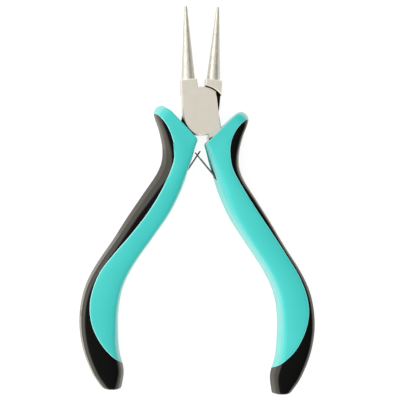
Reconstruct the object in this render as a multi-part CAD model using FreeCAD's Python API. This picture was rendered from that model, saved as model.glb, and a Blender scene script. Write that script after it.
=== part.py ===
import FreeCAD, Part
import math
import os

# Round nose pliers with a lap joint, two comfort grips and a crossed pair of leaf springs.
# The tool lies flat. X runs across it, +Y towards the jaw tips and +Z up along the pivot axis.
# The origin is on the pivot axis, in the flat back face of the joint.
# Each lever is drawn closed, with its jaw on the left and its handle on the right, and is then
# swung open by HALF_OPEN. The back lever is the same forging turned over about the Y axis.

Vector = FreeCAD.Vector
UP = Vector(0, 0, 1)
ACROSS = Vector(0, 1, 0)

# Opening of each lever from the closed position, degrees
HALF_OPEN = 7.8

# Joint plates
JOINT_THICKNESS = 7.0
LAP_GAP = 0.04
DISC_RADIUS = 8.1
SHOULDER_GAP = 0.4
PLATE_FLANK = 5.65
PLATE_BELLY = 6.15
HIP_SHARE = -0.2
HEEL_WIDTH_SHARE = 0.83
HEEL_SHARE = -0.63
WAIST_SHARE = 0.33
WAIST_INSET = 0.1
EDGE_BREAK = 0.28

# Cheeks and round jaws
CHEEK_HEIGHT = 2.45
CHEEK_WIDTH = 5.3
CHEEK_GAP = 0.15
JAW_LENGTH = 24.4
JAW_BASE_RADIUS = 2.3
JAW_TIP_RADIUS = 0.52
JAW_TIP_GAP = 0.08
JAW_BASE_INSET = 0.3
JAW_ROOT_DEPTH = 1.0

# Pivot rivet, headed flush into countersinks
RIVET_RADIUS = 2.1
RIVET_HEAD_RADIUS = 3.1
RIVET_HEAD_DEPTH = 1.0
RIVET_CLEARANCE = 0.04

# Tang, measured from the bottom of the joint disc
TANG_THICKNESS = 5.0
TANG_CLEARANCE = 0.05
TANG_INNER_EDGE = [(1.3, -1.5), (2.0, -6.9), (2.9, -11.9), (3.75, -15.1), (3.3, -17.3), (5.4, -23.7),
                   (8.2, -30.0), (12.6, -38.5), (17.0, -47.5), (19.6, -54.0), (20.4, -61.0)]
TANG_OUTER_EDGE = [(24.0, -61.0), (24.2, -55.0), (21.8, -47.5), (17.2, -38.5), (12.6, -30.0),
                   (9.0, -23.0), (6.8, -14.0), (6.3, -6.0), (6.0, 0.0)]

# Leaf springs, with the foot socket measured from the bottom of the joint disc
LEAF_THICKNESS = 0.35
LEAF_WIDTH = 3.2
LEAF_FOOT = (3.3, -15.9)
LEAF_BEAD_RADIUS = 0.55
LEAF_BEAD_CLEARANCE = 0.07
RIGHT_LEAF_LENGTH = 12.6
RIGHT_LEAF_LEAN = 40.2
LEFT_LEAF_LENGTH = 12.0
LEFT_LEAF_LEAN = 33.1
TONGUE_WIDTH = 1.2
TONGUE_LENGTH = 2.8
FORK_CLEARANCE = 0.2
FORK_LENGTH = 3.0

# Channel in the grip that the leaves fold into
CHANNEL_SIDE_CLEARANCE = 0.15
CHANNEL_FACE_CLEARANCE = 0.2
CHANNEL_WALL_X = 1.0
CHANNEL_LEAN_MIN = 14.0
CHANNEL_LEAN_MAX = 38.0

# Grip moulding, measured from the bottom of the joint disc
GRIP_THICKNESS = 10.0
GRIP_FACE_ROUND = 1.5
GRIP_TOE_ROUND = 1.6
GRIP_CROTCH_ROUND = 0.8
RELIEF_SKIN_GAP = 0.1
GRIP_OUTER_EDGE = [(15.6, 4.9), (13.0, -0.5), (11.1, -5.9), (10.65, -10.5), (11.7, -14.8), (14.6, -21.3),
                   (18.6, -29.9), (22.5, -38.6), (27.0, -47.4), (29.4, -54.2), (30.15, -60.9), (29.5, -68.1),
                   (27.1, -75.7), (22.9, -83.1), (18.9, -87.6)]
GRIP_INNER_EDGE = [(12.7, -86.9), (12.7, -83.4), (13.5, -78.4), (15.9, -73.9), (17.0, -68.1), (17.85, -61.9),
                   (17.6, -56.1), (16.2, -49.5), (13.3, -43.3), (10.0, -36.7), (6.6, -30.2), (4.1, -23.7),
                   (2.6, -18.3), (1.4, -12.1), (0.5, -6.9), (0.1, -2.0)]
GRIP_HORN = [(12.0, 7.3), (13.6, 7.75), (15.1, 6.9)]
SPINE_BORDER = [(17.0, 6.6), (15.0, 4.4), (11.5, 1.65), (9.0, -2.0), (7.8, -5.9), (7.6, -8.6), (8.4, -13.4),
                (10.75, -20.4), (14.9, -29.1), (19.6, -37.9), (24.2, -46.4), (27.0, -52.9), (27.9, -59.9),
                (26.2, -67.9), (21.3, -74.4), (14.5, -78.7), (10.5, -80.3)]

# Where each moulding ended up on its tang: along X, along Y, turned about the pivot
LEFT_SEAT = (0.0, 0.0, 0.0)
RIGHT_SEAT = (0.15, -1.5, -0.35)

MID_PLANE = JOINT_THICKNESS / 2
SHOULDER_RADIUS = DISC_RADIUS + SHOULDER_GAP
CHEEK_TOP = SHOULDER_RADIUS + CHEEK_HEIGHT
FAR = 60.0


def vector(point, z=0.0):
    return Vector(point[0], point[1], z)


def below_disc(point):
    """Place a point that is measured from the bottom of the joint disc."""
    return (point[0], point[1] - DISC_RADIUS)


def polyline(points):
    return [Part.makeLine(vector(a), vector(b)) for a, b in zip(points, points[1:])]


def arc(start, middle, end):
    return Part.Arc(vector(start), vector(middle), vector(end)).toShape()


def spline(points):
    curve = Part.BSplineCurve()
    curve.interpolate([vector(point) for point in points])
    return curve.toShape()


def prism(edges, low, high):
    """Extrude a closed outline between two heights."""
    face = Part.Face(Part.Wire(edges))
    face.translate(UP * low)
    return face.extrude(UP * (high - low))


def cylinder(radius, low, high, centre=(0.0, 0.0)):
    return Part.makeCylinder(radius, high - low, vector(centre, low), UP)


def on_disc(x, sign):
    """Point of the joint disc's rim at a given x, above or below the pivot."""
    return (x, sign * math.sqrt(DISC_RADIUS ** 2 - x ** 2))


def plate_outline():
    """Outline of one half: cheek, joint disc and the root of the tang."""
    cheek_inner = -CHEEK_GAP
    cheek_outer = cheek_inner - CHEEK_WIDTH
    notch = on_disc(cheek_inner, 1)
    flank = on_disc(PLATE_FLANK, 1)
    crown = on_disc((cheek_inner + PLATE_FLANK) / 2, 1)
    tang_inner = below_disc(TANG_INNER_EDGE[0])
    tang_outer = below_disc(TANG_OUTER_EDGE[-1])
    crotch = on_disc(tang_inner[0], -1)
    keel = on_disc(-PLATE_BELLY / 2, -1)
    sole = on_disc((crotch[0] + keel[0]) / 2, -1)
    hip = (-PLATE_BELLY, HIP_SHARE * DISC_RADIUS)
    heel = (-HEEL_WIDTH_SHARE * PLATE_BELLY, HEEL_SHARE * DISC_RADIUS)
    waist = (-PLATE_BELLY + WAIST_INSET, WAIST_SHARE * DISC_RADIUS)
    edges = [Part.makeLine(vector((cheek_outer, CHEEK_TOP)), vector((cheek_inner, CHEEK_TOP)))]
    edges += [Part.makeLine(vector((cheek_inner, CHEEK_TOP)), vector(notch))]
    edges += [arc(notch, crown, flank)]
    edges += polyline([flank, (PLATE_FLANK, 0.0), tang_outer, tang_inner, crotch])
    edges += [arc(crotch, sole, keel), arc(keel, heel, hip)]
    edges += [arc(hip, waist, (cheek_outer, CHEEK_TOP))]
    return edges


def tang_outline():
    points = [below_disc(point) for point in TANG_INNER_EDGE + TANG_OUTER_EDGE]
    return polyline(points + points[:1])


def forging_levels():
    """Lower and upper height of the tang inside the grip."""
    return MID_PLANE - TANG_THICKNESS / 2, MID_PLANE + TANG_THICKNESS / 2


def jaw():
    """Round tapered jaw with its axis in the mid plane, rooted in the top of the cheek."""
    base = Vector(-CHEEK_GAP - JAW_BASE_INSET - JAW_BASE_RADIUS, CHEEK_TOP, MID_PLANE)
    tip = Vector(-JAW_TIP_GAP - JAW_TIP_RADIUS, CHEEK_TOP + JAW_LENGTH, MID_PLANE)
    axis = tip - base
    axis.normalize()
    cone = Part.makeCone(JAW_BASE_RADIUS, JAW_TIP_RADIUS, (tip - base).Length, base, axis)
    root = Part.makeCylinder(JAW_BASE_RADIUS, JAW_ROOT_DEPTH, base - axis * JAW_ROOT_DEPTH, axis)
    return cone.fuse(root)


def leaf_foot():
    return below_disc(LEAF_FOOT)


def leaf_channel(half_width):
    """Space that the leaves sweep and fold into, as one fan from the foot socket."""
    foot = leaf_foot()
    near = math.radians(CHANNEL_LEAN_MIN)
    wide = math.radians(CHANNEL_LEAN_MAX)
    spare = LEAF_THICKNESS / 2 + CHANNEL_FACE_CLEARANCE
    outside = foot[0] + LEAF_BEAD_RADIUS * 10
    wall_height = foot[1] + (foot[0] + spare - CHANNEL_WALL_X) / math.tan(near)
    top = -DISC_RADIUS
    fan = [(foot[0] - spare, foot[1]), (foot[0] - spare - outside * math.tan(wide), foot[1] + outside)]
    fan += [(-outside, foot[1] + outside), (-outside, top), (CHANNEL_WALL_X, top)]
    fan += [(CHANNEL_WALL_X, wall_height), (foot[0] + spare, foot[1]), (foot[0] - spare, foot[1])]
    low = MID_PLANE - half_width
    high = MID_PLANE + half_width
    socket = cylinder(LEAF_BEAD_RADIUS + LEAF_BEAD_CLEARANCE, low, high, foot)
    return prism(polyline(fan), low, high).fuse(socket)


def forging():
    """One half of the pliers: front half of the lap, jaw on the left and tang on the right."""
    low, high = forging_levels()
    lap = MID_PLANE + LAP_GAP / 2
    front = prism(plate_outline(), lap, JOINT_THICKNESS)
    back = prism(plate_outline(), 0.0, lap).cut(cylinder(SHOULDER_RADIUS, -1.0, lap + 1.0))
    tang = prism(tang_outline(), low, high).cut(cylinder(SHOULDER_RADIUS, -1.0, lap))
    shape = front.fuse([back, tang])
    chamfered = [edge for edge in shape.Edges if is_face_edge(edge)]
    shape = shape.makeChamfer(EDGE_BREAK, chamfered)
    shape = shape.fuse(jaw())
    shape = shape.cut(leaf_channel(FAR))
    return shape.removeSplitter()


def is_face_edge(edge):
    """Rim of a flat joint face that shows between the grips."""
    ends = [vertex.Point for vertex in edge.Vertexes]
    level = all(abs(point.z - JOINT_THICKNESS) < 0.01 or abs(point.z) < 0.01 for point in ends)
    flat = max(point.z for point in ends) - min(point.z for point in ends) < 0.01
    return level and flat


def rivet(radius_gap=0.0, low=0.0, high=JOINT_THICKNESS):
    """Rivet with a flush conical head at each end, or the space for one."""
    shank = cylinder(RIVET_RADIUS + radius_gap, low, high)
    head = RIVET_HEAD_RADIUS + radius_gap
    neck = RIVET_RADIUS + radius_gap
    top = Part.makeCone(neck, head, RIVET_HEAD_DEPTH, Vector(0, 0, JOINT_THICKNESS - RIVET_HEAD_DEPTH), UP)
    bottom = Part.makeCone(head, neck, RIVET_HEAD_DEPTH, Vector(0, 0, 0), UP)
    return shank.fuse([top, bottom])


def leaf(length, slotted):
    """Straight strip with a rolled bead at its foot, drawn upright from the foot."""
    low = MID_PLANE - LEAF_WIDTH / 2
    strip = Part.makeBox(LEAF_THICKNESS, length, LEAF_WIDTH, Vector(-LEAF_THICKNESS / 2, 0, low))
    shape = strip.fuse(cylinder(LEAF_BEAD_RADIUS, low, low + LEAF_WIDTH))
    if slotted:
        gap = TONGUE_WIDTH + 2 * FORK_CLEARANCE
        cut_low = MID_PLANE - gap / 2
        corner = Vector(-LEAF_THICKNESS, length - FORK_LENGTH, cut_low)
        return shape.cut(Part.makeBox(2 * LEAF_THICKNESS, FORK_LENGTH + 1.0, gap, corner))
    side = (LEAF_WIDTH - TONGUE_WIDTH) / 2
    for z in (low, low + LEAF_WIDTH - side):
        corner = Vector(-LEAF_THICKNESS, length - TONGUE_LENGTH, z)
        shape = shape.cut(Part.makeBox(2 * LEAF_THICKNESS, TONGUE_LENGTH + 1.0, side, corner))
    return shape


def grip_outline():
    outer = [below_disc(point) for point in GRIP_OUTER_EDGE]
    inner = [below_disc(point) for point in GRIP_INNER_EDGE]
    horn = [below_disc(point) for point in GRIP_HORN]
    edges = [spline(outer), Part.makeLine(vector(outer[-1]), vector(inner[0])), spline(inner)]
    edges += [Part.makeLine(vector(inner[-1]), vector(horn[0]))]
    edges += [spline(horn + outer[:1])]
    return edges


def border_outline():
    """Region outside the line where the soft spine meets the hard body."""
    border = [below_disc(point) for point in SPINE_BORDER]
    low = -2 * FAR
    rim = [border[-1], (border[-1][0], low), (FAR, low), (FAR, border[0][1]), border[0]]
    return [spline(border)] + polyline(rim)


def upright_edges(shape, corners):
    found = []
    for edge in shape.Edges:
        ends = [vertex.Point for vertex in edge.Vertexes]
        upright = len(ends) == 2 and (ends[0] - ends[1]).cross(UP).Length < 0.001
        near = any((vector(corner) - Vector(ends[0].x, ends[0].y, 0)).Length < 0.01 for corner in corners)
        if upright and near:
            found.append(edge)
    return found


def grip_solid():
    """Whole moulding before its pockets, with rounded faces."""
    low = MID_PLANE - GRIP_THICKNESS / 2
    high = MID_PLANE + GRIP_THICKNESS / 2
    shape = prism(grip_outline(), low, high)
    toe = [below_disc(GRIP_OUTER_EDGE[-1]), below_disc(GRIP_INNER_EDGE[0])]
    crotch = [below_disc(GRIP_INNER_EDGE[-1])]
    shape = shape.makeFillet(GRIP_TOE_ROUND, upright_edges(shape, toe))
    shape = shape.makeFillet(GRIP_CROTCH_ROUND, upright_edges(shape, crotch))
    rims = [edge for edge in shape.Edges if edge.BoundBox.ZLength < 0.01]
    return shape.makeFillet(GRIP_FACE_ROUND, rims)


def tang_pocket():
    """Everything of the steel that the moulding must clear, with its own clearances."""
    low, high = forging_levels()
    face = Part.Face(Part.Wire(tang_outline()))
    pocket = face.makeOffset2D(TANG_CLEARANCE, 2)
    pocket.translate(UP * (low - TANG_CLEARANCE))
    pocket = pocket.extrude(UP * (high - low + 2 * TANG_CLEARANCE))
    root_face = Part.Face(Part.Wire(plate_outline())).makeOffset2D(TANG_CLEARANCE, 2)
    root_face.translate(UP * -RELIEF_SKIN_GAP)
    root = root_face.extrude(UP * (JOINT_THICKNESS + 2 * RELIEF_SKIN_GAP))
    swing = cylinder(SHOULDER_RADIUS, -RELIEF_SKIN_GAP, JOINT_THICKNESS + RELIEF_SKIN_GAP)
    return pocket.fuse([root, swing])


def seated(shape, seat):
    """Move a moulding from its drawn place to where it sits on the tang."""
    moved = shape.copy()
    moved.translate(Vector(seat[0], seat[1], 0))
    moved.rotate(Vector(0, 0, 0), UP, seat[2])
    return moved


def grip(seat):
    """Hard body and soft spine of one grip, as a pair of solids that meet at the border."""
    spine_region = prism(border_outline(), -FAR, FAR)
    whole = seated(grip_solid(), seat)
    region = seated(spine_region, seat)
    whole = whole.cut(tang_pocket())
    whole = whole.cut(leaf_channel(LEAF_WIDTH / 2 + CHANNEL_SIDE_CLEARANCE))
    body = whole.cut(region)
    spine = whole.common(region)
    return body, spine


def turned_over(shape):
    """Turn a shape over about the Y axis in the mid plane, for the back lever."""
    flipped = shape.copy()
    flipped.rotate(Vector(0, 0, MID_PLANE), ACROSS, 180)
    return flipped


def swung(shape, angle):
    moved = shape.copy()
    moved.rotate(Vector(0, 0, 0), UP, angle)
    return moved


def front_lever(shape):
    return swung(shape, HALF_OPEN)


def back_lever(shape):
    return swung(turned_over(shape), -HALF_OPEN)


def placed_leaf(shape, lean, place):
    """Lean a leaf in its lever's drawn frame, stand its foot in the socket and place the lever."""
    foot = leaf_foot()
    leaned = swung(shape, lean - HALF_OPEN)
    leaned.translate(Vector(foot[0], foot[1], 0))
    return place(leaned)


def build():
    half = forging()
    bore = rivet()
    running_bore = rivet(RIVET_CLEARANCE)
    right_body, right_spine = grip(RIGHT_SEAT)
    left_body, left_spine = grip(LEFT_SEAT)
    return {
        "front_half": front_lever(half).cut(bore),
        "back_half": back_lever(half).cut(running_bore),
        "pivot_rivet": rivet(),
        "right_grip_body": front_lever(right_body),
        "right_grip_spine": front_lever(right_spine),
        "left_grip_body": back_lever(left_body),
        "left_grip_spine": back_lever(left_spine),
        "right_leaf_spring": placed_leaf(leaf(RIGHT_LEAF_LENGTH, False), RIGHT_LEAF_LEAN, front_lever),
        "left_leaf_spring": placed_leaf(leaf(LEFT_LEAF_LENGTH, True), LEFT_LEAF_LEAN, back_lever),
    }


os.makedirs("parts", exist_ok=True)
for name, solid in build().items():
    print(name, solid.ShapeType, len(solid.Solids), round(solid.Volume, 2), solid.isValid())
    solid.exportStep("parts/" + name + ".step")
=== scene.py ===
"""Looks of a pair of round nose pliers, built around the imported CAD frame.

Sizes in the classes are millimetres. They are drawn on one closed lever with its handle on the right: the
mould and the colour border from the foot of the joint's disc, and everything else from the pivot. Every mesh
is moved to its place in the shared frame, in metres, when it is made.
"""
import logging
import math
from dataclasses import dataclass
from enum import Enum
from typing import Any

import bmesh
import bpy
from mathutils import Matrix, Vector


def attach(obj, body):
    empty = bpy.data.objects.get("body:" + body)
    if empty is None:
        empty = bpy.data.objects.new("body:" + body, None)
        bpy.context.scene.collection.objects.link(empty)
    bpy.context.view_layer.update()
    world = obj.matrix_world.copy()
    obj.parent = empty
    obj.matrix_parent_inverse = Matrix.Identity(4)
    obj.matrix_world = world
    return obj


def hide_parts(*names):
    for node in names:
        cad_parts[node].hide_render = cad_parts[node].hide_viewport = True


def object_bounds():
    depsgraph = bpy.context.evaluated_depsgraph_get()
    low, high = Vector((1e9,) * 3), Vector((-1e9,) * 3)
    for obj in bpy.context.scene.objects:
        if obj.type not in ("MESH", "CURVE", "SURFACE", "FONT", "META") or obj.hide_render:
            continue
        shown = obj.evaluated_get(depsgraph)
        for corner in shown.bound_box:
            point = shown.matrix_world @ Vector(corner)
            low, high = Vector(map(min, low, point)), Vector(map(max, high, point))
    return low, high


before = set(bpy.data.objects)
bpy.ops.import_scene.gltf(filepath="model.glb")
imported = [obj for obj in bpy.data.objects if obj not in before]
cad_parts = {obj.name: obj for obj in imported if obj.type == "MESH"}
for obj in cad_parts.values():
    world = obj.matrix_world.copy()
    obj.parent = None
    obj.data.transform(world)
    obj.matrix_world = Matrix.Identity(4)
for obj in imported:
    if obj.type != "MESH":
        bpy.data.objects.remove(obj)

LOG = logging.getLogger("pliers")
MM = 0.001
CAD_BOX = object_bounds()
HALF_OPEN = math.radians(7.8)  # Turn of each lever from closed to rest.
DISC_RADIUS = 8.1  # Round end of each lever's plate.
SWING_RADIUS = 8.5  # Room that a grip leaves the other lever's plate to swing in.
JOINT_THICKNESS = 7.0
MID_PLANE = JOINT_THICKNESS / 2
LEAF_FOOT = Vector((3.3, -24.0))  # Hinge of a leaf spring.
LEAF_WIDTH = 3.2
SLIVER = 0.01  # Longest edge that is cleared from a finished mesh.
NOISE_LOW, NOISE_HIGH = 0.3, 0.7  # Values that a noise texture mostly stays between.


class Cut(Enum):
    """What a cutting shape does to a piece."""

    AWAY = "DIFFERENCE"
    KEEP = "INTERSECT"


class Side(Enum):
    """The two levers, named for the side their handle is on."""

    RIGHT = "right"
    LEFT = "left"

    @property
    def body(self) -> str:
        """Name of the CAD body that the lever's pieces ride on."""
        return "front_lever" if self is Side.RIGHT else "back_lever"

    @property
    def seat(self) -> tuple[float, float, float]:
        """Where the moulding sits on its tang: along X, along Y, turned in degrees."""
        return (0.15, -1.5, -0.35) if self is Side.RIGHT else (-0.3, 0.0, 0.0)

    def lever_matrix(self) -> Matrix:
        """Matrix from the closed lever's frame to its open place.

        Returns:
            The matrix, still in millimetres.
        """
        lift = Matrix.Translation((0, 0, MID_PLANE))
        if self is Side.RIGHT:
            return lift @ Matrix.Rotation(HALF_OPEN, 4, "Z")
        turned_over = Matrix.Rotation(math.pi, 4, "Y")
        return lift @ Matrix.Rotation(-HALF_OPEN, 4, "Z") @ turned_over

    def grip_matrix(self) -> Matrix:
        """Matrix from the moulding's own frame, measured from the disc's foot, to its place.

        Returns:
            The matrix, still in millimetres.
        """
        along_x, along_y, turned = self.seat
        seat = Matrix.Rotation(math.radians(turned), 4, "Z") @ Matrix.Translation((along_x, along_y, 0))
        return self.lever_matrix() @ seat @ Matrix.Translation((0, -DISC_RADIUS, 0))


def linear_colour(code: str) -> tuple[float, float, float, float]:
    """Turn an sRGB hex colour into the linear values that Blender's sockets take.

    Args:
        code: Six hex digits, such as "4cd0ca".

    Returns:
        Red, green, blue and an alpha of 1.
    """
    channels = []
    for start in (0, 2, 4):
        value = int(code[start:start + 2], 16) / 255
        channels.append(value / 12.92 if value <= 0.04045 else ((value + 0.055) / 1.055) ** 2.4)
    return (channels[0], channels[1], channels[2], 1.0)


def add_node(tree: bpy.types.NodeTree, kind: str, settings: dict[str | int, Any] | None = None,
             links: dict[str | int, bpy.types.NodeSocket] | None = None) -> bpy.types.Node:
    """Add one node with its settings and its incoming links.

    Args:
        tree: Node tree to add to.
        kind: Blender's name of the node type.
        settings: Values by input name or number, or by property name.
        links: Output sockets by input name or number.

    Returns:
        The new node.
    """
    node = tree.nodes.new(kind)
    for name, value in (settings or {}).items():
        if isinstance(name, str) and hasattr(node, name):
            setattr(node, name, value)
        else:
            node.inputs[name].default_value = value
    for name, socket in (links or {}).items():
        tree.links.new(socket, node.inputs[name])
    return node


def new_material(name: str) -> tuple[bpy.types.Material, bpy.types.NodeTree]:
    """Make an empty node material.

    Args:
        name: Name of the real material.

    Returns:
        The material and its cleared node tree.
    """
    material = bpy.data.materials.new(name)
    material.use_nodes = True
    material.node_tree.nodes.clear()
    return material, material.node_tree


@dataclass(frozen=True)
class MouldedGrip:
    """A moulded plastic or rubber finish with a fine spark-eroded grain.

    Attributes:
        name: Name of the real material.
        colour: Main colour, sRGB hex.
        shade: Colour of the faint clouds in the pigment, sRGB hex.
        side: Paler colour painted on the drafted sides as painted light, for the reflections they catch where
            light grazes, sRGB hex.
        side_shallow: Upward part of the normal where that colour starts.
        side_steep: Upward part of the normal where a side has all of it.
        roughness: Mean roughness.
        specular: Specular level of the shader.
        sheen: Weight of the dusty bloom at grazing angles.
        bloom: Colour of that bloom, sRGB hex.
        bloom_roughness: How far the bloom spreads in from the edges.
        stray: How far the roughness strays below and above its mean.
        cloud_mm: Size of the clouds, as wide as a fingertip.
        grain_mm: Size of the moulded grain, drawn coarser than the real 0.05 mm so that it shows.
        grain_height_mm: Height of that grain.
        grain_strength: Share of that height that the bump takes.
    """

    name: str
    colour: str
    shade: str
    side: str
    side_shallow: float
    side_steep: float
    roughness: float
    specular: float
    sheen: float = 0.0
    bloom: str = "d8d2c4"
    bloom_roughness: float = 0.25
    stray: tuple[float, float] = (0.04, 0.05)
    cloud_mm: float = 14.0
    grain_mm: float = 0.35
    grain_height_mm: float = 0.004
    grain_strength: float = 0.6

    def make(self) -> bpy.types.Material:
        """Build the material.

        Returns:
            The finished material.
        """
        material, tree = new_material(self.name)
        place = add_node(tree, "ShaderNodeTexCoord").outputs["Object"]
        clouds = add_node(tree, "ShaderNodeTexNoise", {"Scale": 1 / (self.cloud_mm * MM), "Detail": 3.0},
                          {"Vector": place})
        grain = add_node(tree, "ShaderNodeTexNoise", {"Scale": 1 / (self.grain_mm * MM), "Detail": 2.0},
                         {"Vector": place})
        colour = add_node(tree, "ShaderNodeMix",
                          {"data_type": "RGBA", 6: linear_colour(self.colour), 7: linear_colour(self.shade)},
                          {0: clouds.outputs["Fac"]})
        # Painted light: the steeper a face, the more of the paler side colour it gets.
        facing = add_node(tree, "ShaderNodeNewGeometry").outputs["Normal"]
        axes = add_node(tree, "ShaderNodeSeparateXYZ", {}, {"Vector": facing})
        upright = add_node(tree, "ShaderNodeMath", {"operation": "ABSOLUTE"}, {0: axes.outputs["Z"]})
        steep = add_node(tree, "ShaderNodeMapRange",
                         {"From Min": self.side_shallow, "From Max": self.side_steep},
                         {"Value": upright.outputs["Value"]})
        side_painted_light = add_node(tree, "ShaderNodeMix", {"data_type": "RGBA", 7: linear_colour(self.side)},
                         {0: steep.outputs["Result"], 6: colour.outputs[2]})
        polish = add_node(tree, "ShaderNodeMapRange",
                          {"From Min": NOISE_LOW, "From Max": NOISE_HIGH,
                           "To Min": self.roughness - self.stray[0],
                           "To Max": self.roughness + self.stray[1]},
                          {"Value": grain.outputs["Fac"]})
        bump = add_node(tree, "ShaderNodeBump",
                        {"Strength": self.grain_strength, "Distance": self.grain_height_mm * MM},
                        {"Height": grain.outputs["Fac"]})
        shader = add_node(tree, "ShaderNodeBsdfPrincipled",
                          {"IOR": 1.5, "Specular IOR Level": self.specular, "Sheen Weight": self.sheen,
                           "Sheen Roughness": self.bloom_roughness, "Sheen Tint": linear_colour(self.bloom)},
                          {"Base Color": side_painted_light.outputs[2], "Roughness": polish.outputs["Result"],
                           "Normal": bump.outputs["Normal"]})
        add_node(tree, "ShaderNodeOutputMaterial", {}, {"Surface": shader.outputs["BSDF"]})
        return material


@dataclass(frozen=True)
class SatinSteel:
    """Satin nickel-plated tool steel with faint grinding lines.

    Attributes:
        name: Name of the real material.
        colour: Reflected colour, sRGB hex.
        stain: Colour of the faint clouding, sRGB hex.
        roughness: Mean roughness.
        stray: How far the roughness strays below and above its mean.
        cloud_mm: Size of the clouding.
        line_mm: Spacing of the grinding lines, drawn coarser than the real 0.05 mm so that they show.
        line_length_mm: Length of the grinding lines along Y.
        line_height: Height of the grinding lines, as a share of the grain's.
        jaw_colour: Colour of the blasted jaws, sRGB hex.
        jaw_start_mm: Where the jaws start along Y.
        jaw_blend_mm: Length over which their finish comes in.
        grit_mm: Size of the blasted grain on the jaws, drawn coarser than the real 0.1 mm so that it shows.
        grit_height_mm: Height of that grain.
        ground_grit: Share of that grain that is left behind the jaws.
        painted_shade: Near-black colour of the painted shade laid into crevices and on the lap faces, sRGB
            hex.
        crevice_mm: Reach of the occlusion test that picks the crevices for painted shade.
        crevice_light: Share of open sky at which a face is all painted shade, and at which it has none.
        lap_mm: Height of the ground lap faces, which are painted dark as painted shade.
        lap_band_mm: How near to that height a face counts as one of them.
    """

    name: str
    colour: str
    stain: str
    roughness: float
    stray: tuple[float, float] = (0.05, 0.06)
    cloud_mm: float = 3.5
    line_mm: float = 0.25
    line_length_mm: float = 6.0
    line_height: float = 0.25
    jaw_colour: str = "cfccc1"
    jaw_start_mm: float = 10.9
    jaw_blend_mm: float = 0.3
    grit_mm: float = 0.6
    grit_height_mm: float = 0.15
    ground_grit: float = 0.08
    painted_shade: str = "1a1712"
    crevice_mm: float = 3.0
    crevice_light: tuple[float, float] = (0.24, 0.5)
    lap_mm: float = MID_PLANE
    lap_band_mm: float = 0.08

    def make(self) -> bpy.types.Material:
        """Build the material.

        Returns:
            The finished material.
        """
        material, tree = new_material(self.name)
        place = add_node(tree, "ShaderNodeTexCoord").outputs["Object"]
        stretch = (1 / (self.line_mm * MM), 1 / (self.line_length_mm * MM), 1 / (self.line_mm * MM))
        along = add_node(tree, "ShaderNodeMapping", {"Scale": stretch}, {"Vector": place})
        lines = add_node(tree, "ShaderNodeTexNoise", {"Scale": 1.0, "Detail": 3.0},
                         {"Vector": along.outputs["Vector"]})
        clouds = add_node(tree, "ShaderNodeTexNoise", {"Scale": 1 / (self.cloud_mm * MM), "Detail": 4.0},
                          {"Vector": place})
        colour = add_node(tree, "ShaderNodeMix",
                          {"data_type": "RGBA", 6: linear_colour(self.colour), 7: linear_colour(self.stain)},
                          {0: clouds.outputs["Fac"]})
        polish = add_node(tree, "ShaderNodeMapRange",
                          {"From Min": NOISE_LOW, "From Max": NOISE_HIGH,
                           "To Min": self.roughness - self.stray[0],
                           "To Max": self.roughness + self.stray[1]},
                          {"Value": lines.outputs["Fac"]})
        grit = add_node(tree, "ShaderNodeTexNoise", {"Scale": 1 / (self.grit_mm * MM), "Detail": 1.0},
                        {"Vector": place})
        axes = add_node(tree, "ShaderNodeSeparateXYZ", {}, {"Vector": place})
        jaws = add_node(tree, "ShaderNodeMapRange",
                        {"From Min": self.jaw_start_mm * MM,
                         "From Max": (self.jaw_start_mm + self.jaw_blend_mm) * MM,
                         "To Min": self.ground_grit, "To Max": 1.0}, {"Value": axes.outputs["Y"]})
        blasted = add_node(tree, "ShaderNodeMath", {"operation": "MULTIPLY"},
                           {0: grit.outputs["Fac"], 1: jaws.outputs["Result"]})
        relief = add_node(tree, "ShaderNodeMath", {"operation": "MULTIPLY_ADD", 1: self.line_height},
                          {0: lines.outputs["Fac"], 2: blasted.outputs["Value"]})
        bump = add_node(tree, "ShaderNodeBump", {"Strength": 1.0, "Distance": self.grit_height_mm * MM},
                        {"Height": relief.outputs["Value"]})
        # Painted shade: faces that the occlusion test finds in crevices, and the lap faces, are darkened
        # towards a near-black colour.
        shelter = add_node(tree, "ShaderNodeAmbientOcclusion",
                           {"Distance": self.crevice_mm * MM, "samples": 8})
        open_air = add_node(tree, "ShaderNodeMapRange",
                            {"From Min": self.crevice_light[0], "From Max": self.crevice_light[1]},
                            {"Value": shelter.outputs["AO"]})
        lap = add_node(tree, "ShaderNodeMath",
                       {"operation": "COMPARE", 1: self.lap_mm * MM, 2: self.lap_band_mm * MM},
                       {0: axes.outputs["Z"]})
        painted_shade = add_node(tree, "ShaderNodeMath", {"operation": "SUBTRACT", "use_clamp": True},
                       {0: open_air.outputs["Result"], 1: lap.outputs["Value"]})
        ground = add_node(tree, "ShaderNodeMix", {"data_type": "RGBA", 7: linear_colour(self.jaw_colour)},
                          {0: jaws.outputs["Result"], 6: colour.outputs[2]})
        with_painted_shade = add_node(tree, "ShaderNodeMix", {"data_type": "RGBA", 6: linear_colour(self.painted_shade)},
                         {0: painted_shade.outputs["Value"], 7: ground.outputs[2]})
        shader = add_node(tree, "ShaderNodeBsdfPrincipled", {"Metallic": 1.0},
                          {"Base Color": with_painted_shade.outputs[2], "Roughness": polish.outputs["Result"],
                           "Normal": bump.outputs["Normal"]})
        add_node(tree, "ShaderNodeOutputMaterial", {}, {"Surface": shader.outputs["BSDF"]})
        return material


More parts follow.
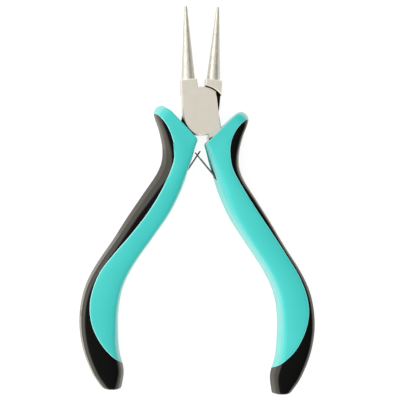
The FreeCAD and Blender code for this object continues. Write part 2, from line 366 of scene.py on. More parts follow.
class Finish(Enum):
    """Every finish on the tool, by the piece that wears it."""

    # Injection moulded from a lightly sparked mould: an even, waxy blue-green on the faces. Its paler, greyer
    # drafted sides are painted light, for the reflections they catch.
    TURQUOISE = MouldedGrip("Turquoise polypropylene", colour="2bc1bc", shade="40c8c2", side="7dcac5",
                            side_shallow=0.76, side_steep=0.45, roughness=0.36, specular=0.5, sheen=0.6)
    # The same plastic, a little glossier, on its lip along the black: a thin pale line that is a painted
    # highlight.
    TURQUOISE_PAINTED_HIGHLIGHT = MouldedGrip("Turquoise polypropylene painted highlight", colour="86e9e1", shade="9af0e8",
                                 side="a8eae6", side_shallow=0.8, side_steep=0.5, roughness=0.25,
                                 specular=0.7, sheen=0.2)
    # Overmoulded soft rubber with a dull skin: faces that stay deep black with hardly a highlight, and a grey
    # painted on its steeper parts as painted light.
    BLACK = MouldedGrip("Black thermoplastic rubber", colour="070707", shade="0a0a09", side="79756b",
                        side_shallow=0.92, side_steep=0.3, roughness=0.35, specular=0.05, sheen=0.5,
                        grain_height_mm=0.006)
    # The same rubber where the mould was left coarse: sides with a dusty, warm grey bloom where light grazes,
    # over a grey painted on as painted light.
    BLACK_SIDE = MouldedGrip("Grained black thermoplastic rubber", colour="0b0a08", shade="110f0c",
                             side="4c483e", side_shallow=0.92, side_steep=0.3, roughness=0.4, specular=0.4,
                             sheen=0.8, grain_height_mm=0.006)
    # Forged, ground and blasted, then nickel plated: a pale, warm, satin grey with faint lines on the joint
    # and a fine sparkle on the jaws.
    STEEL = SatinSteel("Satin nickel-plated steel", colour="e4dfd3", stain="dad5c9", roughness=0.34)
    # Strip steel blued by its hardening: thin dark lines with a soft brown shine.
    SPRING = SatinSteel("Blued spring steel", colour="2a251c", stain="1e1a14", roughness=0.38)

    def material(self) -> bpy.types.Material:
        """Return the finish's material, made on first use."""
        found = bpy.data.materials.get(self.value.name)
        return found if found is not None else self.value.make()


@dataclass(frozen=True)
class Track:
    """A value that changes smoothly along the handle, set at given station numbers.

    Attributes:
        keys: Pairs of station number and value.
    """

    keys: tuple[tuple[float, float], ...]

    def at(self, station: float) -> float:
        """Find the value at a station, eased between its two nearest keys.

        Args:
            station: Number of the station, or a share of the way to the next one.

        Returns:
            The value there.
        """
        if station <= self.keys[0][0]:
            return self.keys[0][1]
        for (start, low), (end, high) in zip(self.keys, self.keys[1:]):
            if station <= end:
                share = (station - start) / (end - start)
                return low + (high - low) * share * share * (3 - 2 * share)
        return self.keys[-1][1]


@dataclass(frozen=True)
class Path:
    """A smooth plane curve through given points.

    Attributes:
        points: The points, one per station.
    """

    points: tuple[tuple[float, float], ...]

    def at(self, station: float) -> Vector:
        """Find a point of the curve.

        Args:
            station: Number of the point, or a share of the way to the next one.

        Returns:
            The point, as a plane vector.
        """
        index = min(int(station), len(self.points) - 2)
        share = station - index
        start, end = Vector(self.points[index]), Vector(self.points[index + 1])
        chord = (end - start).length
        leave, arrive = self._heading(index) * chord, self._heading(index + 1) * chord
        square, cube = share ** 2, share ** 3
        return (start * (2 * cube - 3 * square + 1) + leave * (cube - 2 * square + share)
                + end * (3 * square - 2 * cube) + arrive * (cube - square))

    def _heading(self, index: int) -> Vector:
        """Find the slope at a point, from its neighbours on both sides.

        Args:
            index: Number of the point.

        Returns:
            The slope, scaled so that its length is near 1.
        """
        here = Vector(self.points[index])
        before = Vector(self.points[max(index - 1, 0)])
        after = Vector(self.points[min(index + 1, len(self.points) - 1)])
        return (after - before) / ((after - here).length + (here - before).length)

    def sampled(self, steps: int) -> list[Vector]:
        """Return evenly numbered points, with so many steps between stations."""
        count = (len(self.points) - 1) * steps
        return [self.at(number / steps) for number in range(count + 1)]


def new_piece(name: str, mesh_data: bmesh.types.BMesh, matrix: Matrix, finish: Finish) -> bpy.types.Object:
    """Turn a bmesh in millimetres into a dressed object in the shared frame.

    Args:
        name: Name of the piece.
        mesh_data: The shape, freed afterwards.
        matrix: Place of the shape, in millimetres.
        finish: Finish to wear.

    Returns:
        The object, at the origin with its place in its mesh.
    """
    bmesh.ops.transform(mesh_data, matrix=Matrix.Scale(MM, 4) @ matrix, verts=mesh_data.verts)
    bmesh.ops.recalc_face_normals(mesh_data, faces=mesh_data.faces)
    mesh = bpy.data.meshes.new(name)
    mesh_data.to_mesh(mesh)
    mesh_data.free()
    mesh.materials.append(finish.material())
    piece = bpy.data.objects.new(name, mesh)
    bpy.context.scene.collection.objects.link(piece)
    return piece


def carve(piece: bpy.types.Object, tool: bpy.types.Object, cut: Cut) -> None:
    """Cut a piece with another shape and keep the result in its mesh.

    Args:
        piece: Piece to cut.
        tool: Shape to cut with.
        cut: Whether the shape is taken away or is what is kept.
    """
    modifier = piece.modifiers.new("carve", "BOOLEAN")
    modifier.solver = "EXACT"
    modifier.operation = cut.value
    modifier.object = tool
    settle(piece)


def settle(piece: bpy.types.Object) -> None:
    """Apply every modifier of a piece to its mesh.

    Args:
        piece: Piece with the modifiers.
    """
    depsgraph = bpy.context.evaluated_depsgraph_get()
    depsgraph.update()
    settled = bpy.data.meshes.new_from_object(piece.evaluated_get(depsgraph))
    settled.name = piece.name
    piece.modifiers.clear()
    piece.data = settled


def discard(tool: bpy.types.Object) -> None:
    """Remove a cutting shape and its mesh.

    Args:
        tool: Shape to remove.
    """
    mesh = tool.data
    bpy.data.objects.remove(tool)
    bpy.data.meshes.remove(mesh)


def smooth(piece: bpy.types.Object, sharp_degrees: float = 32.0) -> None:
    """Clear the slivers of a piece and shade it smooth, but for its sharp edges.

    Args:
        piece: Piece to finish.
        sharp_degrees: Angle over which an edge stays sharp.
    """
    shape = bmesh.new()
    shape.from_mesh(piece.data)
    bmesh.ops.dissolve_degenerate(shape, edges=shape.edges, dist=SLIVER * MM)
    bmesh.ops.triangulate(shape, faces=shape.faces)
    folded = [edge for edge in shape.edges if len(edge.link_faces) > 2]
    bmesh.ops.collapse(shape, edges=folded)
    shape.to_mesh(piece.data)
    shape.free()
    piece.data.shade_smooth()
    piece.data.set_sharp_from_angle(angle=math.radians(sharp_degrees))


def ring_of(mesh_data: bmesh.types.BMesh, corners: list[Vector]) -> list[bmesh.types.BMVert]:
    """Start a shape from one ring of corners.

    Args:
        mesh_data: Shape to add to.
        corners: Places of the ring's corners.

    Returns:
        The ring's vertices, in order.
    """
    made = bmesh.ops.create_circle(mesh_data, cap_ends=False, segments=len(corners), radius=1.0)
    for vert, corner in zip(made["verts"], corners):
        vert.co = corner
    return made["verts"]


def next_ring(mesh_data: bmesh.types.BMesh, ring: list[bmesh.types.BMVert],
              corners: list[Vector]) -> list[bmesh.types.BMVert]:
    """Extrude a ring of edges and lay the new ring on its corners.

    Args:
        mesh_data: Shape to add to.
        ring: Vertices of the last ring, in order.
        corners: Places of the new ring's corners.

    Returns:
        The new ring's vertices, in the same order.
    """
    edges = [mesh_data.edges.get((ring[number - 1], ring[number])) for number in range(len(ring))]
    made = bmesh.ops.extrude_edge_only(mesh_data, edges=edges)
    fresh = {vert for vert in made["geom"] if isinstance(vert, bmesh.types.BMVert)}
    ordered = [next(edge.other_vert(vert) for edge in vert.link_edges if edge.other_vert(vert) in fresh)
               for vert in ring]
    for vert, corner in zip(ordered, corners):
        vert.co = corner
    return ordered


def cap(mesh_data: bmesh.types.BMesh, ring: list[bmesh.types.BMVert]) -> bmesh.types.BMFace:
    """Close a ring with one face and return the face."""
    edges = [mesh_data.edges.get((ring[number - 1], ring[number])) for number in range(len(ring))]
    return bmesh.ops.edgeloop_fill(mesh_data, edges=edges)["faces"][0]


@dataclass(frozen=True)
class GripMould:
    """The moulding that both handles share: a drafted, softly crowned S-shaped grip.

    Stations run from the mouth, where the tang comes out, to the toe. The upper face of the mould is the
    one that shows on the right handle and the lower face is the one that shows on the left.

    Attributes:
        outer: Outer edge in the parting plane, from the horn to the toe.
        inner: Inner edge in the parting plane, from the crotch to the toe.
        half_thickness: Half the thickness of the moulding at the crown of its faces.
        drop: How far the faces fall from their crown to their rims.
        rim_height: Usual height of the face rims, which the sides are drafted to.
        rims: Inset of the four face rims: outer upper, outer lower, inner upper and inner lower.
        bead: Height of the fine bead where the outer side's two facets meet.
        bead_width: Half the width of that bead.
        bead_rise: How far its top leans towards the face, as a share of its height.
        facet: Where the outer side's lower facet ends, as shares of the rim's inset and height.
        draft: The same for the inner side, which is straighter.
        shares: Places of the face's rails, as shares of its width.
        crown_power: How flat the middle of the face is.
        horn_heading: Direction that the horn points in.
        horn_reach: Distance of the horn's end along that direction.
        horn_length: Length over which the horn rounds off.
        horn_fall: Share of the thickness that the horn loses at its end.
        ends: Stations over which the mouth's rim and the toe's rim round off.
        end_rounds: Radii of the mouth's rim and the toe's rim.
        end_turns: Angles of the sections in those rims, degrees.
        end_gap: Stations left without a section beside the rims.
        sections_per_station: Sections between two stations.
        round_outer: Radius of the outer face rims, largest over the horn.
        round_inner: Radius of the inner face rims.
    """

    outer: Path = Path(((11.7, 7.7), (13.4, 8.05), (15.0, 7.0), (15.6, 4.9), (13.0, -0.5), (11.1, -5.9),
                        (10.65, -10.5), (11.7, -14.8), (14.8, -21.3), (18.95, -29.9), (22.85, -38.6),
                        (27.1, -47.4), (29.4, -54.2), (30.14, -60.9), (29.5, -68.1), (27.1, -75.7),
                        (22.9, -83.1), (18.9, -87.56)))
    inner: Path = Path(((-0.2, -1.6), (-0.1, -2.4), (0.05, -3.3), (0.25, -4.7), (0.5, -6.9), (0.9, -9.3),
                        (1.4, -12.1), (2.05, -15.6), (2.95, -19.6), (5.35, -26.9), (9.4, -35.2),
                        (14.35, -45.1), (16.95, -52.6), (17.5, -60.0), (16.65, -67.4), (15.2, -74.4),
                        (12.8, -80.6), (12.7, -86.86)))
    half_thickness: Track = Track(((0, 4.95), (14, 4.95), (17, 4.3)))
    drop: Track = Track(((0, 0.3), (4, 0.5), (9, 0.6), (14, 0.6), (17, 0.3)))
    rim_height: float = 4.3
    rims: tuple[Track, Track, Track, Track] = (
        Track(((0, 1.3), (4, 1.3), (8, 1.15), (13, 1.3), (17, 1.4))),
        Track(((0, 1.5), (4, 2.6), (8, 3.5), (10, 2.9), (13, 1.7), (17, 1.6))),
        Track(((0, 0.7), (2, 1.2), (4, 1.5), (8, 2.7), (13, 1.9), (15, 2.3), (17, 2.0))),
        Track(((0, 0.6), (4, 0.7), (8, 0.85), (13, 0.9), (15, 1.4), (17, 2.0))))
    bead: Track = Track(((9, 0.0), (11, 0.1), (16, 0.1), (17, 0.06)))
    bead_width: float = 0.16
    bead_rise: float = 0.3
    facet: tuple[float, float] = (0.45, 0.62)
    draft: tuple[float, float] = (0.5, 0.62)
    shares: tuple[float, ...] = (0.12, 0.19, 0.27, 0.42, 0.58, 0.74, 0.88)
    crown_power: float = 2.4
    horn_heading: tuple[float, float] = (0.74, 0.67)
    horn_reach: float = 15.9
    horn_length: float = 4.4
    horn_fall: float = 0.62
    ends: tuple[float, float] = (0.4, 0.15)
    end_rounds: tuple[float, float] = (0.4, 0.65)
    end_turns: tuple[float, ...] = (90.0, 60.0, 30.0)
    end_gap: float = 0.1
    sections_per_station: int = 5
    round_outer: Track = Track(((0, 0.6), (1, 1.1), (2.5, 1.1), (4.5, 0.5)))
    round_inner: Track = Track(((0, 0.6), (17, 0.6)))

    def corners(self, station: float, sunk: float, inset: float = 0.0) -> list[Vector]:
        """Find the corners of one section.

        Args:
            station: Station number.
            sunk: How far the faces lie below the hard body's faces.
            inset: How far the whole section is drawn in, near an end.

        Returns:
            The corners, from the outer parting line over the upper face and back under the lower one.
        """
        outer, inner = self.outer.at(station), self.inner.at(station)
        middle = (outer + inner) / 2
        width = (inner - outer).length
        across = (inner - outer) / width
        narrow = 1 - 2 * inset / width
        thin = 1 - inset / self.half_thickness.at(station)
        outer_upper, outer_lower, inner_upper, inner_lower = (rim.at(station) for rim in self.rims)
        proud = self.bead.at(station)
        section = [(0.0, 0.0)] + self._flank(outer_upper, self.facet, proud, sunk)
        section += self._face(outer_upper, width - inner_upper, station, sunk)
        side = self._flank(inner_upper, self.draft, 0.0, sunk)
        section += [(width - along, high) for along, high in reversed(side)]
        section += [(width, 0.0)]
        section += [(width - along, -high) for along, high in self._flank(inner_lower, self.draft, 0.0, sunk)]
        face = self._face(outer_lower, width - inner_lower, station, sunk)
        section += [(along, -high) for along, high in reversed(face)]
        side = self._flank(outer_lower, self.facet, proud, sunk)
        section += [(along, -high) for along, high in reversed(side)]
        places = [outer + across * along for along, _ in section]
        return [Vector((*(middle + (place - middle) * narrow), high * thin * self._horn(place)))
                for place, (_, high) in zip(places, section)]

    def _flank(self, inset: float, turn: tuple[float, float], proud: float,
               sunk: float) -> list[tuple[float, float]]:
        """Find a side's corners between the parting line and the face, with the bead at the facet.

        Args:
            inset: Inset of the face rim.
            turn: Where the facets meet, as shares of the rim's inset and height.
            proud: Height of the bead.
            sunk: How far the faces lie below the hard body's faces.

        Returns:
            Three corners: below the bead, its top, and above it.
        """
        tall = self.rim_height - sunk
        along, high = turn[0] * inset, turn[1] * tall
        below = self.bead_width * along / high
        above = self.bead_width * (inset - along) / (tall - high)
        return [(along - below, high - self.bead_width), (along - proud, high + proud * self.bead_rise),
                (along + above, high + self.bead_width)]

    def _face(self, start: float, end: float, station: float, sunk: float) -> list[tuple[float, float]]:
        """Find the corners of a crowned face from one rim to the other.

        Args:
            start: Place of the outer rim across the section.
            end: Place of the inner rim across the section.
            station: Station number.
            sunk: How far the face lies below the hard body's face.

        Returns:
            The two rims with the face's rails between them.
        """
        drop = self.drop.at(station)
        rim = self.half_thickness.at(station) - drop - sunk
        heights = [rim + drop * (1 - abs(2 * share - 1) ** self.crown_power) for share in self.shares]
        rails = [(start + (end - start) * share, high) for share, high in zip(self.shares, heights)]
        return [(start, rim), *rails, (end, rim)]

    def _horn(self, place: Vector) -> float:
        """Find the share of its thickness that the moulding keeps near the horn's end.

        Args:
            place: Place in the parting plane.

        Returns:
            The share, which is 1 away from the horn.
        """
        left = self.horn_reach - place.dot(Vector(self.horn_heading))
        short = max(0.0, 1 - left / self.horn_length)
        return 1 - self.horn_fall * short * short

    def whole(self, sunk: float = 0.0) -> bmesh.types.BMesh:
        """Loft the whole moulding through its sections and mark the edges to round.

        Args:
            sunk: How far the faces lie below the hard body's faces.

        Returns:
            The shape, in the mould's own frame.
        """
        shape = bmesh.new()
        weight = shape.edges.layers.float.new("bevel_weight_edge")
        sections = self._sections()
        ring = ring_of(shape, self.corners(sections[0][0], sunk, sections[0][1]))
        cap(shape, ring)
        rims = self._rims(len(ring))
        for station, inset in sections[1:]:
            fresh = next_ring(shape, ring, self.corners(station, sunk, inset))
            for corner, radius in rims.items():
                edge = shape.edges.get((ring[corner], fresh[corner]))
                edge[weight] = radius.at(station) / self.largest_round
            ring = fresh
        cap(shape, ring)
        return shape

    def _sections(self) -> list[tuple[float, float]]:
        """List the sections of the loft, from the mouth's rim to the toe's.

        Returns:
            Each section's station and how far it is drawn in.
        """
        last = len(self.outer.points) - 1
        turns = [math.radians(angle) for angle in self.end_turns]
        mouth = [(self.ends[0] * (1 - math.sin(turn)), self.end_rounds[0] * (1 - math.cos(turn)))
                 for turn in turns]
        toe = [(last - self.ends[1] * (1 - math.sin(turn)), self.end_rounds[1] * (1 - math.cos(turn)))
               for turn in reversed(turns)]
        first_free, last_free = self.ends[0] + self.end_gap, last - self.ends[1] - self.end_gap
        middle = [number / self.sections_per_station for number in range(last * self.sections_per_station)]
        middle = [station for station in middle if first_free < station < last_free]
        return mouth + [(station, 0.0) for station in [self.ends[0], *middle, last - self.ends[1]]] + toe

    @property
    def largest_round(self) -> float:
        """Radius that a bevel weight of 1 stands for."""
        return max(radius for track in (self.round_outer, self.round_inner) for _, radius in track.keys)

    def _rims(self, count: int) -> dict[int, Track]:
        """Find which corners of a section are face rims.

        Args:
            count: How many corners a section has.

        Returns:
            The radius of each rim, by its corner's number.
        """
        first = 4  # A parting line and a flank of three corners come before the first rim.
        second = first + len(self.shares) + 1
        under = count // 2
        return {first: self.round_outer, second: self.round_inner,
                under + first: self.round_inner, under + second: self.round_outer}


@dataclass(frozen=True)
class ColourBorder:
    """Line where the soft black spine meets the hard body, on each face of the mould.

    Attributes:
        upper: Border on the upper face.
        lower: Border on the lower face.
        rim: How far the cutting shape reaches beyond the grip.
        height: Half the height of the cutting shape.
        steps: Steps of the cutting shape between two points of the border.
    """

    upper: Path = Path(((17.5, 5.4), (15.2, 5.35), (13.9, 4.95), (12.4, 3.9), (10.9, 2.5), (9.6, 0.8),
                        (8.4, -1.6), (7.7, -5.0), (8.0, -10.4), (10.6, -16.8), (14.8, -25.4),
                        (19.25, -34.0), (23.3, -42.6), (26.0, -48.9), (27.7, -55.5), (27.8, -61.0),
                        (26.0, -66.7), (22.2, -72.6), (18.0, -76.1), (14.2, -78.2), (10.5, -79.4)))
    lower: Path = Path(((17.5, 4.5), (15.4, 4.6), (14.4, 4.35), (12.85, 3.3), (11.25, 1.75), (9.75, -0.3),
                        (8.4, -2.8), (7.4, -5.6), (6.9, -10.4), (8.75, -18.5), (12.2, -27.2),
                        (17.05, -35.9), (22.2, -43.8), (25.6, -50.0), (27.1, -57.0), (26.8, -62.9),
                        (25.1, -67.8), (21.8, -72.5), (17.6, -76.2), (13.9, -78.0), (10.5, -78.9)))
    rim: float = 60.0
    height: float = 6.0
    steps: int = 6

    def cutter(self) -> bmesh.types.BMesh:
        """Build the region outside the border as a solid.

        Returns:
            The shape, in the mould's own frame.
        """
        shape = bmesh.new()
        rings = []
        for path, height in ((self.lower, -self.height), (self.upper, self.height)):
            line = path.sampled(self.steps)
            line += [Vector((line[-1].x, -2 * self.rim)), Vector((self.rim, -2 * self.rim))]
            line += [Vector((self.rim, line[0].y))]
            rings.append([Vector((point.x, point.y, height)) for point in line])
        low = ring_of(shape, rings[0])
        high = next_ring(shape, low, rings[1])
        cap(shape, low)
        cap(shape, high)
        return shape


@dataclass(frozen=True)
class SpringChannel:
    """Channel in the inner side of a grip that the crossed leaves fold into.

    Attributes:
        wall_x: Where the channel's floor lies along X.
        lean_min: Least lean of a leaf from the lever, degrees.
        lean_max: Most lean of a leaf from the lever, degrees.
        spare: Room beside the leaf's middle plane.
        side_gap: Room beside the leaf's edges.
        reach: How far the cutting shape reaches out of the grip.
    """

    wall_x: float = 1.0
    lean_min: float = 14.0
    lean_max: float = 38.0
    spare: float = 0.375
    side_gap: float = 0.15
    reach: float = 9.0

    def cutter(self) -> bmesh.types.BMesh:
        """Build the fan of space that the leaf sweeps, as a solid.

        Returns:
            The shape, in the closed lever's frame.
        """
        near, wide = math.radians(self.lean_min), math.radians(self.lean_max)
        foot, top = LEAF_FOOT, LEAF_FOOT.y + self.reach
        wall = foot.y + (foot.x + self.spare - self.wall_x) / math.tan(near)
        fan = [(foot.x - self.spare, foot.y), (foot.x - self.spare - self.reach * math.tan(wide), top)]
        fan += [(-self.reach, top), (-self.reach, -DISC_RADIUS), (self.wall_x, -DISC_RADIUS)]
        fan += [(self.wall_x, wall), (foot.x + self.spare, foot.y)]
        half = LEAF_WIDTH / 2 + self.side_gap
        shape = bmesh.new()
        low = ring_of(shape, [Vector((*point, -half)) for point in fan])
        high = next_ring(shape, low, [Vector((*point, half)) for point in fan])
        cap(shape, low)
        cap(shape, high)
        return shape


@dataclass
class Grip:
    """One handle's grip: a hard turquoise body and a soft black spine.

    Attributes:
        side: Which handle.
        mould: The shared moulding.
        border: The line between the two colours.
        channel: The channel that the leaf springs fold into.
        lip: How far the hard body stands proud of the soft spine.
        lip_round: Radius of the hard body's edge along the border.
        lip_segments: Steps of that edge's rounding.
        rim_segments: Steps of the face rims' rounding.
        swing_segments: Sides of the round swing relief.
        swing_spare: How much taller than the joint the swing relief is.
        tidy: Length under which the cut's edges are merged before they are rounded.
        steep: Upward part of the normal under which a face is one of the grained sides.
    """

    side: Side
    mould: GripMould = GripMould()
    border: ColourBorder = ColourBorder()
    channel: SpringChannel = SpringChannel()
    lip: float = 0.25
    lip_round: float = 0.18
    lip_segments: int = 3
    rim_segments: int = 5
    swing_segments: int = 96
    swing_spare: float = 0.2
    tidy: float = 0.3
    steep: float = 0.86

    def build(self) -> list[bpy.types.Object]:
        """Make both mouldings of the grip.

        Returns:
            The body and the spine.
        """
        place = self.side.grip_matrix()
        # The faces that the cut leaves wear the pale painted highlight along the border.
        cutter = new_piece("border_cutter", self.border.cutter(), place, Finish.TURQUOISE_PAINTED_HIGHLIGHT)
        for face in cutter.data.polygons:
            face.material_index = 1  # Marks the faces that the cut leaves.
        body = self._moulding("hard_grip", 0.0, Finish.TURQUOISE)
        body.data.materials.append(Finish.TURQUOISE_PAINTED_HIGHLIGHT.material())
        carve(body, cutter, Cut.AWAY)
        spine = self._moulding("soft_spine", self.lip, Finish.BLACK)
        carve(spine, cutter, Cut.KEEP)
        discard(cutter)
        self._grain_sides(spine, Finish.BLACK_SIDE)
        self._soften(body)
        for tool in self._reliefs():
            carve(body, tool, Cut.AWAY)
            discard(tool)
        for piece, part, slot in ((body, "body", "hard_grip"), (spine, "spine", "soft_grip")):
            smooth(piece)
            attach(piece, self.side.body)
            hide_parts(f"{self.side.value}_grip_{part}")
        return [body, spine]

    def _moulding(self, kind: str, sunk: float, finish: Finish) -> bpy.types.Object:
        """Make the whole moulding with its rims rounded.

        Args:
            kind: Last part of the piece's name.
            sunk: How far its faces lie below the hard body's faces.
            finish: Finish to wear.

        Returns:
            The moulding, before it is cut along the border.
        """
        place = self.side.grip_matrix()
        piece = new_piece(f"{self.side.value}_{kind}", self.mould.whole(sunk), place, finish)
        rounding = piece.modifiers.new("rims", "BEVEL")
        rounding.limit_method = "WEIGHT"
        rounding.width = self.mould.largest_round * MM
        rounding.segments = self.rim_segments
        rounding.use_clamp_overlap = False
        settle(piece)
        return piece

    def _reliefs(self) -> list[bpy.types.Object]:
        """Make the shapes that cut the swing relief and the spring channel.

        Returns:
            The two cutting shapes.
        """
        lever = self.side.lever_matrix()
        swing = bmesh.new()
        bmesh.ops.create_cone(swing, cap_ends=True, segments=self.swing_segments, radius1=SWING_RADIUS,
                              radius2=SWING_RADIUS, depth=JOINT_THICKNESS + self.swing_spare)
        return [new_piece("swing_cutter", swing, lever, Finish.STEEL),
                new_piece("channel_cutter", self.channel.cutter(), lever, Finish.STEEL)]

    def _grain_sides(self, piece: bpy.types.Object, finish: Finish) -> None:
        """Give the drafted sides, whose mould is left grained, their own finish.

        Args:
            piece: Piece to dress.
            finish: Finish of its sides.
        """
        piece.data.materials.append(finish.material())
        index = len(piece.data.materials) - 1
        # The side finish is glossier, and its grey colour is painted light.
        for face in piece.data.polygons:
            if abs(face.normal.z) < self.steep:
                face.material_index = index

    def _soften(self, piece: bpy.types.Object) -> None:
        """Round the edges of the hard body that the border's cut made.

        Args:
            piece: The hard body, whose second material, the painted highlight, shows on the rounding.
        """
        self._tidy(piece)
        bevel = piece.modifiers.new("lip", "BEVEL")
        bevel.limit_method = "WEIGHT"
        bevel.width = self.lip_round * MM
        bevel.segments = self.lip_segments
        bevel.use_clamp_overlap = False
        bevel.material = 1
        settle(piece)

    def _tidy(self, piece: bpy.types.Object) -> None:
        """Merge the vertices that lie too close together along the cut, and mark its edges to round.

        Args:
            piece: The hard body, straight after the cut.
        """
        shape = bmesh.new()
        shape.from_mesh(piece.data)
        weight = shape.edges.layers.float.get("bevel_weight_edge")
        short = [edge for edge in self._cut_edges(shape) if edge.calc_length() < self.tidy * MM]
        bmesh.ops.collapse(shape, edges=short)
        along = dict.fromkeys(vert for edge in self._cut_edges(shape) for vert in edge.verts)
        beside = {}
        for vert in along:
            for edge in vert.link_edges:
                other = edge.other_vert(vert)
                if other not in along and edge.calc_length() < self.tidy * MM:
                    beside[other] = vert
        bmesh.ops.weld_verts(shape, targetmap=beside)
        bmesh.ops.dissolve_degenerate(shape, edges=shape.edges, dist=SLIVER * MM)
        cut = set(self._cut_edges(shape))
        for edge in shape.edges:
            edge[weight] = float(edge in cut)
        shape.to_mesh(piece.data)
        shape.free()

    def _cut_edges(self, shape: bmesh.types.BMesh) -> list[bmesh.types.BMEdge]:
        """Return the edges between the moulded faces and those that the cut made."""
        return [edge for edge in shape.edges if len({face.material_index for face in edge.link_faces}) == 2]


@dataclass
class Steelwork:
    """The forged halves, the pivot rivet and the leaf springs, kept from the frame and dressed.

    Attributes:
        finishes: Pairs of node name and finish.
    """

    finishes: tuple[tuple[str, Finish], ...] = (
        ("front_half", Finish.STEEL), ("back_half", Finish.STEEL), ("pivot_rivet", Finish.STEEL),
        ("left_leaf_spring", Finish.SPRING), ("right_leaf_spring", Finish.SPRING))

    def dress(self) -> list[bpy.types.Object]:
        """Give each steel node its finish.

        Returns:
            The dressed nodes.
        """
        dressed = []
        for name, finish in self.finishes:
            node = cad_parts[name]
            node.data.materials.clear()
            node.data.materials.append(finish.material())
            dressed.append(node)
        return dressed


@dataclass(frozen=True)
class Laminate:
    """Matt white table top, lit from within so that the tool's shadow stays faint.

    Attributes:
        name: Name of the real material.
        colour: Main colour, sRGB hex.
        speck: Colour of the fine specks, sRGB hex.
        speck_mm: Size of the specks.
        roughness: Roughness.
        specular: Specular level of the shader.
        glow: Strength of the light from within.
    """

    name: str = "White laminate table"
    colour: str = "8c8c8c"
    speck: str = "868686"
    speck_mm: float = 2.0
    roughness: float = 0.9
    specular: float = 0.1
    glow: float = 0.86

    def make(self) -> bpy.types.Material:
        """Build the material.

        Returns:
            The finished material.
        """
        material, tree = new_material(self.name)
        place = add_node(tree, "ShaderNodeTexCoord").outputs["Object"]
        speck = add_node(tree, "ShaderNodeTexNoise", {"Scale": 1 / (self.speck_mm * MM)}, {"Vector": place})
        colour = add_node(tree, "ShaderNodeMix",
                          {"data_type": "RGBA", 6: linear_colour(self.colour), 7: linear_colour(self.speck)},
                          {0: speck.outputs["Fac"]})
        shader = add_node(tree, "ShaderNodeBsdfPrincipled",
                          {"Roughness": self.roughness, "Specular IOR Level": self.specular,
                           "Emission Strength": self.glow, "Emission Color": (1.0, 1.0, 1.0, 1.0)},
                          {"Base Color": colour.outputs[2]})
        add_node(tree, "ShaderNodeOutputMaterial", {}, {"Surface": shader.outputs["BSDF"]})
        return material


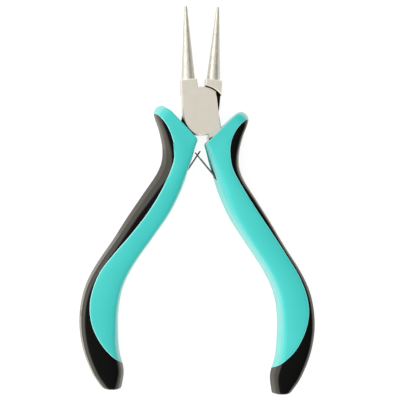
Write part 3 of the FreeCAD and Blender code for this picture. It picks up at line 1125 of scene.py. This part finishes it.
@dataclass
class Studio:
    """Pale floor, soft light from all round and a camera almost straight above.

    Attributes:
        aim: Point that the camera looks at.
        distance: Camera distance.
        lean: How far the camera leans to the left of straight above, degrees.
        roll: How far the camera is rolled, degrees.
        lens: Focal length.
        sensor: Width of the camera's sensor.
        panels: Brightness of the surroundings from the far left, at 0, to the far right, at 1.
        tint: Share of red, green and blue in that brightness, a little warm.
        ends: Extra brightness of the surroundings ahead of the jaws and behind the toes.
        end_reach: How far along Y, of 1, that extra brightness starts and is whole.
        key_place: Where the softbox hangs.
        key_size: Side of the softbox.
        key_power: Its light, in watts.
        table: Finish of the table.
        table_size: Half the side of the table.
        table_gap: How far the table lies under the tool.
    """

    aim: tuple[float, float, float] = (0.25, -29.5, 3.5)
    distance: float = 450.0
    lean: float = 5.5
    roll: float = 0.75
    lens: float = 121.5
    sensor: float = 36.0
    panels: tuple[tuple[float, float], ...] = (
        (0.0, 1.0), (0.08, 1.75), (0.22, 1.55), (0.36, 1.12), (0.44, 1.09),
        (0.54, 0.93), (0.64, 0.76), (0.76, 0.35), (0.88, 0.35), (1.0, 1.0))
    tint: tuple[float, float, float] = (1.0, 0.99, 0.97)
    ends: float = 0.5
    end_reach: tuple[float, float] = (0.5, 0.9)
    key_place: tuple[float, float, float] = (-420.0, 40.0, 300.0)
    key_size: float = 300.0
    key_power: float = 0.25
    table: Laminate = Laminate()
    table_size: float = 3000.0
    table_gap: float = 0.1

    def build(self) -> None:
        """Make the camera, the lights, the surroundings and the floor."""
        self._camera()
        self._surroundings()
        self._softbox()
        self._floor()

    def _camera(self) -> None:
        """Place the camera."""
        camera = bpy.data.objects.new("camera", bpy.data.cameras.new("camera"))
        camera.data.lens = self.lens
        camera.data.sensor_width = self.sensor
        aim = Matrix.Translation(Vector(self.aim) * MM)
        lean = Matrix.Rotation(-math.radians(self.lean), 4, "Y")
        spin = Matrix.Rotation(math.radians(self.roll), 4, "Z")
        camera.matrix_world = aim @ lean @ spin @ Matrix.Translation((0, 0, self.distance * MM))
        bpy.context.scene.collection.objects.link(camera)
        bpy.context.scene.camera = camera

    def _surroundings(self) -> None:
        """Light the world evenly, brighter to the left and dimmer to the right."""
        world = bpy.data.worlds.new("studio")
        world.use_nodes = True
        tree = world.node_tree
        tree.nodes.clear()
        heading = add_node(tree, "ShaderNodeTexCoord").outputs["Generated"]
        axes = add_node(tree, "ShaderNodeSeparateXYZ", {}, {"Vector": heading})
        across = add_node(tree, "ShaderNodeMapRange", {"From Min": -1.0, "From Max": 1.0},
                          {"Value": axes.outputs["X"]})
        panels = add_node(tree, "ShaderNodeValToRGB", {}, {"Fac": across.outputs["Result"]})
        self._paint(panels.color_ramp)
        along = add_node(tree, "ShaderNodeMath", {"operation": "ABSOLUTE"}, {0: axes.outputs["Y"]})
        lift = add_node(tree, "ShaderNodeMapRange",
                        {"From Min": self.end_reach[0], "From Max": self.end_reach[1],
                         "To Min": 1.0, "To Max": 1.0 + self.ends}, {"Value": along.outputs["Value"]})
        glow = add_node(tree, "ShaderNodeBackground", {},
                        {"Color": panels.outputs["Color"], "Strength": lift.outputs["Result"]})
        add_node(tree, "ShaderNodeOutputWorld", {}, {"Surface": glow.outputs["Background"]})
        bpy.context.scene.world = world
        bpy.context.scene.view_settings.view_transform = "Standard"

    def _paint(self, ramp: bpy.types.ColorRamp) -> None:
        """Set the brightness of the surroundings from the far left to the far right.

        Args:
            ramp: Colour ramp to set.
        """
        while len(ramp.elements) > 1:
            ramp.elements.remove(ramp.elements[-1])
        ramp.elements[0].position = self.panels[0][0]
        for place, _ in self.panels[1:]:
            ramp.elements.new(place)
        for element, (_, level) in zip(ramp.elements, self.panels):
            element.color = (*(level * share for share in self.tint), 1.0)

    def _softbox(self) -> None:
        """Hang the square softbox, facing the tool."""
        data = bpy.data.lights.new("key_light", "AREA")
        data.shape = "SQUARE"
        data.size = self.key_size * MM
        data.energy = self.key_power
        light = bpy.data.objects.new("key_light", data)
        light.location = Vector(self.key_place) * MM
        towards = Vector(self.aim) * MM - light.location
        light.rotation_euler = towards.to_track_quat("-Z", "Y").to_euler()
        bpy.context.scene.collection.objects.link(light)

    def _floor(self) -> None:
        """Lay the table under the tool."""
        shape = bmesh.new()
        bmesh.ops.create_grid(shape, x_segments=2, y_segments=2, size=self.table_size * MM)
        low = CAD_BOX[0][2] - self.table_gap * MM
        bmesh.ops.translate(shape, vec=(0, 0, low), verts=shape.verts)
        mesh = bpy.data.meshes.new("table")
        shape.to_mesh(mesh)
        shape.free()
        mesh.materials.append(self.table.make())
        table = bpy.data.objects.new("table", mesh)
        bpy.context.scene.collection.objects.link(table)


def main() -> None:
    """Build every piece in order and report each one."""
    logging.basicConfig(level=logging.INFO, format="%(name)s: %(message)s")
    Studio().build()
    pieces = Steelwork().dress()
    for side in Side:
        pieces += Grip(side).build()
    for piece in pieces:
        LOG.info("%s: %d faces", piece.name, len(piece.data.polygons))


if __name__ == "__main__":
    main()
